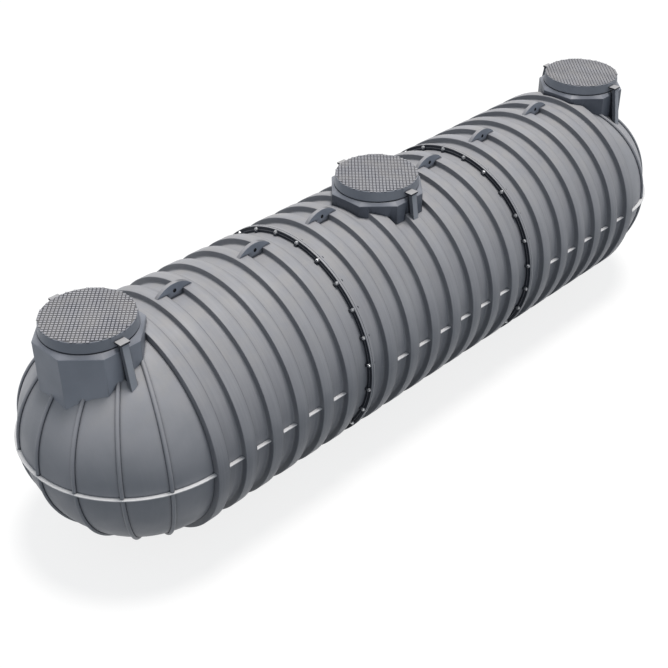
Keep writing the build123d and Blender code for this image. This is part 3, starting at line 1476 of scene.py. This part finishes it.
@dataclass
class Bracket:
    """A leaning plate with a web behind it and a cap over its head."""

    side: Side
    edge: Edge
    plate_width: float = 0.070
    plate_thickness: float = 0.045
    web_width: float = 0.034
    web_sink: float = 0.004
    reach: float = 0.052
    lean: float = 8.2
    cap_width: float = 0.104
    cap_thickness: float = 0.020
    cap_overhang: float = 0.005
    cap_top: float = 2.420
    cap_inner: float = 0.4314
    edge_round: float = 0.004

    def prism(self, corners: list[Point], width: float) -> BMesh:
        """Push a side outline out to a width.

        Args:
            corners: pairs of distance from the tank's middle plane and height.
            width: size along X.

        Returns:
            A closed mesh with rounded edges.
        """
        bm = bmesh.new()
        start = LAYOUT.neck_x(self.side) - width / 2
        wire(bm, [Vector((start, self.edge.value * out, height)) for out, height in corners])
        push_out(bm, (width, 0, 0), self.edge_round)
        return bm

    def build(self, looks: Looks, cores: list[Object]) -> None:
        """Make the plate, web and cap, and fit them to the shell.

        Args:
            looks: the finishes.
            cores: the filled shells that the bracket stands on.
        """
        seat, foot = self.cap_top - self.cap_thickness, LAYOUT.axis_height
        top_out = LAYOUT.neck_apothem + self.reach
        foot_out = top_out + (seat - foot) * math.tan(math.radians(self.lean))
        top_back, foot_back = top_out - self.plate_thickness, foot_out - self.plate_thickness
        wall = LAYOUT.neck_apothem - self.web_sink
        cap_out = top_out + self.cap_overhang
        plate = [(foot_out, foot), (top_out, seat), (top_back, seat), (foot_back, foot)]
        web = [(foot_back, foot), (top_back, seat), (wall, seat), (wall, foot)]
        cap = [(self.cap_inner, seat), (cap_out, seat)]
        cap += [(cap_out, self.cap_top), (self.cap_inner, self.cap_top)]
        node = self.side.label + "_bracket_" + self.edge.label
        dark = looks["joint_plastic"]
        for label, corners, width, finishes in (
            ("_plate", plate, self.plate_width, [looks["bracket_plastic"]]),
            # The web takes the dark plastic: painted shade in the recess behind the plate.
            ("_web", web, self.web_width, [dark]),
            ("_cap", cap, self.cap_width, [looks["cap_plastic"], dark]),
        ):
            bm = self.prism(corners, width)
            # The cap's sides take the dark plastic: painted shade below its top.
            if label == "_cap":
                paint(bm, lambda face: face.normal.z < UPWARD)
            piece = make_object(bm, node + label, *finishes)
            if label != "_cap":
                carve(piece, cores)
            lead_normals(piece.data)
            install(piece, "bracket", *([node] if label == "_plate" else []))


@dataclass
class Lug:
    """An arched lifting lug with an eye, from ring to ring."""

    side: Side
    index: int
    gap: int
    thickness: float = 0.040
    length: float = 0.400
    rise: float = 0.086
    root: float = 0.020
    arch_steps: int = 24
    eye_radius: float = 0.020
    eye_height: float = 0.010
    eye_steps: int = 32
    eye_reach: float = 0.120
    edge_round: float = 0.0025

    @property
    def foot(self) -> Vector:
        """The middle of the lug at the height of the rings' crests."""
        rings = LAYOUT.rings(self.side)
        place = (rings[self.gap] + rings[self.gap + 1]) / 2
        return Vector((place, 0, LAYOUT.axis_height + LAYOUT.crest_radius))

    def plate(self) -> BMesh:
        """The arched plate, down to the wall.

        Returns:
            A closed mesh with rounded edges.
        """
        half = self.length / 2
        radius = (half**2 + self.rise**2) / (2 * self.rise)
        sweep = 2 * math.degrees(math.asin(half / radius))
        bm = bmesh.new()
        bm.verts.new(self.foot + Vector((half, -self.thickness / 2, 0)))
        centre = self.foot + UP * (self.rise - radius)
        revolve(bm, centre, Vector((0, -1, 0)), sweep, self.arch_steps)
        bmesh.ops.remove_doubles(bm, verts=bm.verts[:], dist=MERGE_DISTANCE)
        ends = sorted((v for v in bm.verts if len(v.link_edges) == 1), key=lambda v: v.co.x)
        root = LAYOUT.axis_height + LAYOUT.valley_radius - self.root
        feet = [bm.verts.new((v.co.x, v.co.y, root)) for v in ends]
        for pair in (*zip(ends, feet), feet):
            bm.edges.new(pair)
        push_out(bm, (0, self.thickness, 0), self.edge_round)
        # Faces that look up take the shell's plastic, the others the lug's own tone of it, set to
        # how light falls on them: painted light and shade.
        paint(bm, looks_up)
        return bm

    def eye(self, lining: Material) -> Object:
        """A round bar in the eye's place, to be carved out.

        Args:
            lining: finish that the bar leaves inside the eye; near-black, it is painted shade in
                the hole.

        Returns:
            An object to be removed after use.
        """
        bm = bmesh.new()
        bmesh.ops.create_cone(
            bm,
            cap_ends=True,
            segments=self.eye_steps,
            radius1=self.eye_radius,
            radius2=self.eye_radius,
            depth=self.eye_reach,
        )
        swing(bm, math.pi / 2, "X")
        shift(bm, self.foot + UP * self.eye_height)
        tidy(bm)
        return make_object(bm, "eye_bar", lining)

    def build(self, looks: Looks, core: Object) -> None:
        """Make the lug and fit it to the rings.

        Args:
            looks: the finishes.
            core: the filled barrel that it stands on.
        """
        node = self.side.label + "_lug_" + str(self.index)
        faces, top = looks["lug_plastic"], looks["shell_plastic"]
        piece = make_object(self.plate(), node + "_arch", faces, top)
        bar = self.eye(looks["eye_plastic"])
        carve(piece, [bar, core])
        bpy.data.objects.remove(bar)
        lead_normals(piece.data)
        install(piece, "lug", node)


@dataclass
class Studio:
    """Floor, soft light and camera."""

    camera_place: Triple = (-8.0397, -7.35798, 8.07231)
    camera_right: Triple = (0.70132362, -0.71280512, -0.00735141)
    camera_up: Triple = (0.41248087, 0.39738274, 0.81972342)
    lens: float = 64.2837
    sensor: float = 36.0
    sight: float = 200.0
    floor_size: float = 90.0
    floor_roughness: float = 0.95
    floor_colour: Colour = (0.22, 0.22, 0.22)
    bounce_colour: Colour = (0.115, 0.128, 0.142)
    floor_glow: float = 0.82
    sky_strength: float = 0.36
    sky_colour: Colour = (0.83, 0.915, 1.0)
    lamp_colour: Colour = (1.0, 0.965, 0.93)
    lamp_strength: float = 2.36
    lamp_softness: float = 16.0
    lamp_lean: float = 10.0

    def seen_directly(self, bench: Bench) -> NodeSocket:
        """1 where the camera, a reflection or a clear piece sees the surface."""
        path = bench.add("LightPath").outputs
        seen = bench.math("MAXIMUM", path["Is Camera Ray"], path["Is Glossy Ray"])
        return bench.math("MAXIMUM", seen, path["Is Transmission Ray"])

    def build_floor(self) -> None:
        """A plain pale floor that keeps the tank's shadow."""
        bm = bmesh.new()
        bmesh.ops.create_grid(bm, x_segments=1, y_segments=1, size=self.floor_size / 2)
        material, bench, shader = new_material("floor")
        seen = self.seen_directly(bench)
        bench.fill(
            shader,
            Base_Color=bench.blend(seen, self.bounce_colour, self.floor_colour),
            Roughness=self.floor_roughness,
            Specular_IOR_Level=0.0,
            Emission_Color=(*WHITE, 1.0),
            Emission_Strength=bench.math("MULTIPLY", seen, self.floor_glow),
        )
        make_object(bm, "floor", material)

    def build_sky(self) -> None:
        """White where it is seen, soft and dim as a light."""
        world = bpy.data.worlds.new("sky")
        world.use_nodes = True
        bpy.context.scene.world = world
        bench = Bench(world.node_tree)
        seen = self.seen_directly(bench)
        dim = self.sky_strength
        bench.fill(
            world.node_tree.nodes["Background"],
            Color=bench.blend(seen, self.sky_colour, WHITE),
            Strength=bench.math("MULTIPLY_ADD", seen, 1 - dim, dim),
        )

    def build_lamp(self) -> None:
        """One broad soft light from above, a little from the far end."""
        lamp = bpy.data.lights.new("soft_light", "SUN")
        lamp.energy = self.lamp_strength
        lamp.angle = math.radians(self.lamp_softness)
        lamp.color = self.lamp_colour
        light = bpy.data.objects.new("soft_light", lamp)
        light.rotation_euler = (0.0, math.radians(self.lamp_lean), 0.0)
        bpy.context.scene.collection.objects.link(light)

    def build_camera(self) -> None:
        """The camera at the photograph's place."""
        lens = bpy.data.cameras.new("camera")
        lens.lens = self.lens
        lens.sensor_width = self.sensor
        lens.sensor_fit = "HORIZONTAL"
        lens.clip_end = self.sight
        camera = bpy.data.objects.new("camera", lens)
        right, up = Vector(self.camera_right), Vector(self.camera_up)
        turn = Matrix((right, up, right.cross(up))).transposed()
        camera.matrix_world = Matrix.Translation(self.camera_place) @ turn.to_4x4()
        bpy.context.scene.collection.objects.link(camera)
        bpy.context.scene.camera = camera

    def build(self) -> None:
        """Set up the whole studio."""
        self.build_floor()
        self.build_sky()
        self.build_lamp()
        self.build_camera()
        bpy.context.scene.view_settings.view_transform = "Standard"


def neck_plastic(side: Side, colour: Colour, dark: Colour, film: float) -> Plastic:
    """The plastic of one neck's walls, toned for that neck: painted light on the near neck,
    painted shade on the others.
    """
    return Plastic(side.label + "_neck_plastic", colour, dark, (178, 180, 184), film_amount=film)


# Each plastic's usual, darkest and worn colour, and what sets it apart.
FINISHES = (
    Plastic(
        "shell_plastic",
        (168, 169, 174),
        (154, 155, 161),
        (192, 191, 190),
        streak_strength=0.5,
        # Painted shade on faces that look along the tank, the rings' flanks.
        film_amount=0.34,
    ),
    Plastic(
        "dome_plastic",
        (168, 169, 175),
        (156, 158, 164),
        (190, 189, 188),
        streak_strength=0.12,
        # More painted shade in corners, beside the dome's beads.
        grime_amount=0.85,
    ),
    Plastic(
        "ledge_plastic",
        (226, 226, 227),
        (214, 214, 216),
        (232, 232, 232),
        dust_amount=0.0,
        streak_strength=0.5,
        grime_amount=0.1,
    ),
    # One plastic in three tones: lighter on the near neck as painted light, darker on the middle
    # and far necks as painted shade.
    neck_plastic(Side.NEAR, (184, 188, 198), (172, 176, 186), 0.2),
    neck_plastic(Side.MIDDLE, (120, 125, 136), (108, 113, 124), 0.4),
    neck_plastic(Side.FAR, (120, 125, 136), (108, 113, 124), 0.4),
    # The necks' plastic in another tone for their shoulders: painted shade on the near neck,
    # painted light on the middle and far ones.
    Plastic(
        "shoulder_plastic", (140, 144, 154), (128, 132, 142), (182, 184, 188), dust_amount=0.2
    ),
    # The shell's plastic in another tone for the lugs' sides: painted light and shade.
    Plastic("lug_plastic", (164, 170, 182), (152, 158, 170), (168, 170, 174)),
    Plastic("cover_plastic", (155, 159, 168), (143, 147, 156), (170, 171, 174), dust_amount=0.15),
    # Dark tone of the cover's plastic, painted shade between the studs, and a pale tone for the
    # studs' tops, painted light.
    Plastic("tread_plastic", (68, 71, 80), (58, 61, 70), (110, 112, 118)),
    Plastic("stud_plastic", (174, 174, 180), (161, 161, 168), (192, 192, 195), grime_amount=0.2),
    # Dark plastic of the flanges' free faces, also used as painted shade: below the bolts, on the
    # brackets' webs and on the sides of the brackets' caps.
    Plastic(
        "joint_plastic",
        (44, 48, 57),
        (34, 38, 47),
        (96, 98, 104),
        dust_amount=0.1,
        roughness=0.6,
    ),
    Plastic(
        "bracket_plastic",
        (182, 186, 194),
        (168, 172, 180),
        (205, 206, 208),
        # Dark painted shade on the sides that look along the tank.
        grime=(38, 42, 50),
        film_amount=0.62,
    ),
    Plastic(
        "cap_plastic", (184, 184, 186), (170, 170, 173), (206, 205, 205), streak_strength=0.5
    ),
    # Near-black lining of the lugs' eyes: painted shade in the hole.
    Plastic(
        "eye_plastic", (15, 17, 21), (11, 13, 17), (24, 26, 30), dust_amount=0.0, roughness=0.8
    ),
    Plastic(
        "flange_plastic",
        (168, 169, 174),
        (154, 155, 161),
        (168, 169, 173),
        streak_strength=0.5,
        wear_strength=0.0,
    ),
    Steel("bolt_steel"),
)

# The gaps between rings that carry each module's lugs, counted from the lowest X.
LUG_GAPS = {Side.NEAR: (1, 4), Side.MIDDLE: (0, 5), Side.FAR: (3, 0)}


def main() -> None:
    """Build the tank piece by piece."""
    logging.basicConfig(level=logging.INFO, format="%(name)s %(message)s")
    effects = Effects()
    looks = {finish.name: finish.build(effects) for finish in FINISHES}
    for side in Side:
        barrel = Barrel(side)
        barrel.build(looks)
        core = make_object(barrel.core(), "core")
        cores = [core]
        if side is not Side.MIDDLE:
            dome = Dome(side)
            dome.build(looks)
            cores.append(make_object(dome.core(), "dome_core"))
            Joint(side).build(looks)
        Neck(side).build(looks, cores)
        Cover(side).build(looks)
        for edge in Edge:
            Bracket(side, edge).build(looks, cores)
        for index, gap in enumerate(LUG_GAPS[side], start=1):
            Lug(side, index, gap).build(looks, core)
        for spare in cores:
            bpy.data.objects.remove(spare)
    Studio().build()


if __name__ == "__main__":
    main()
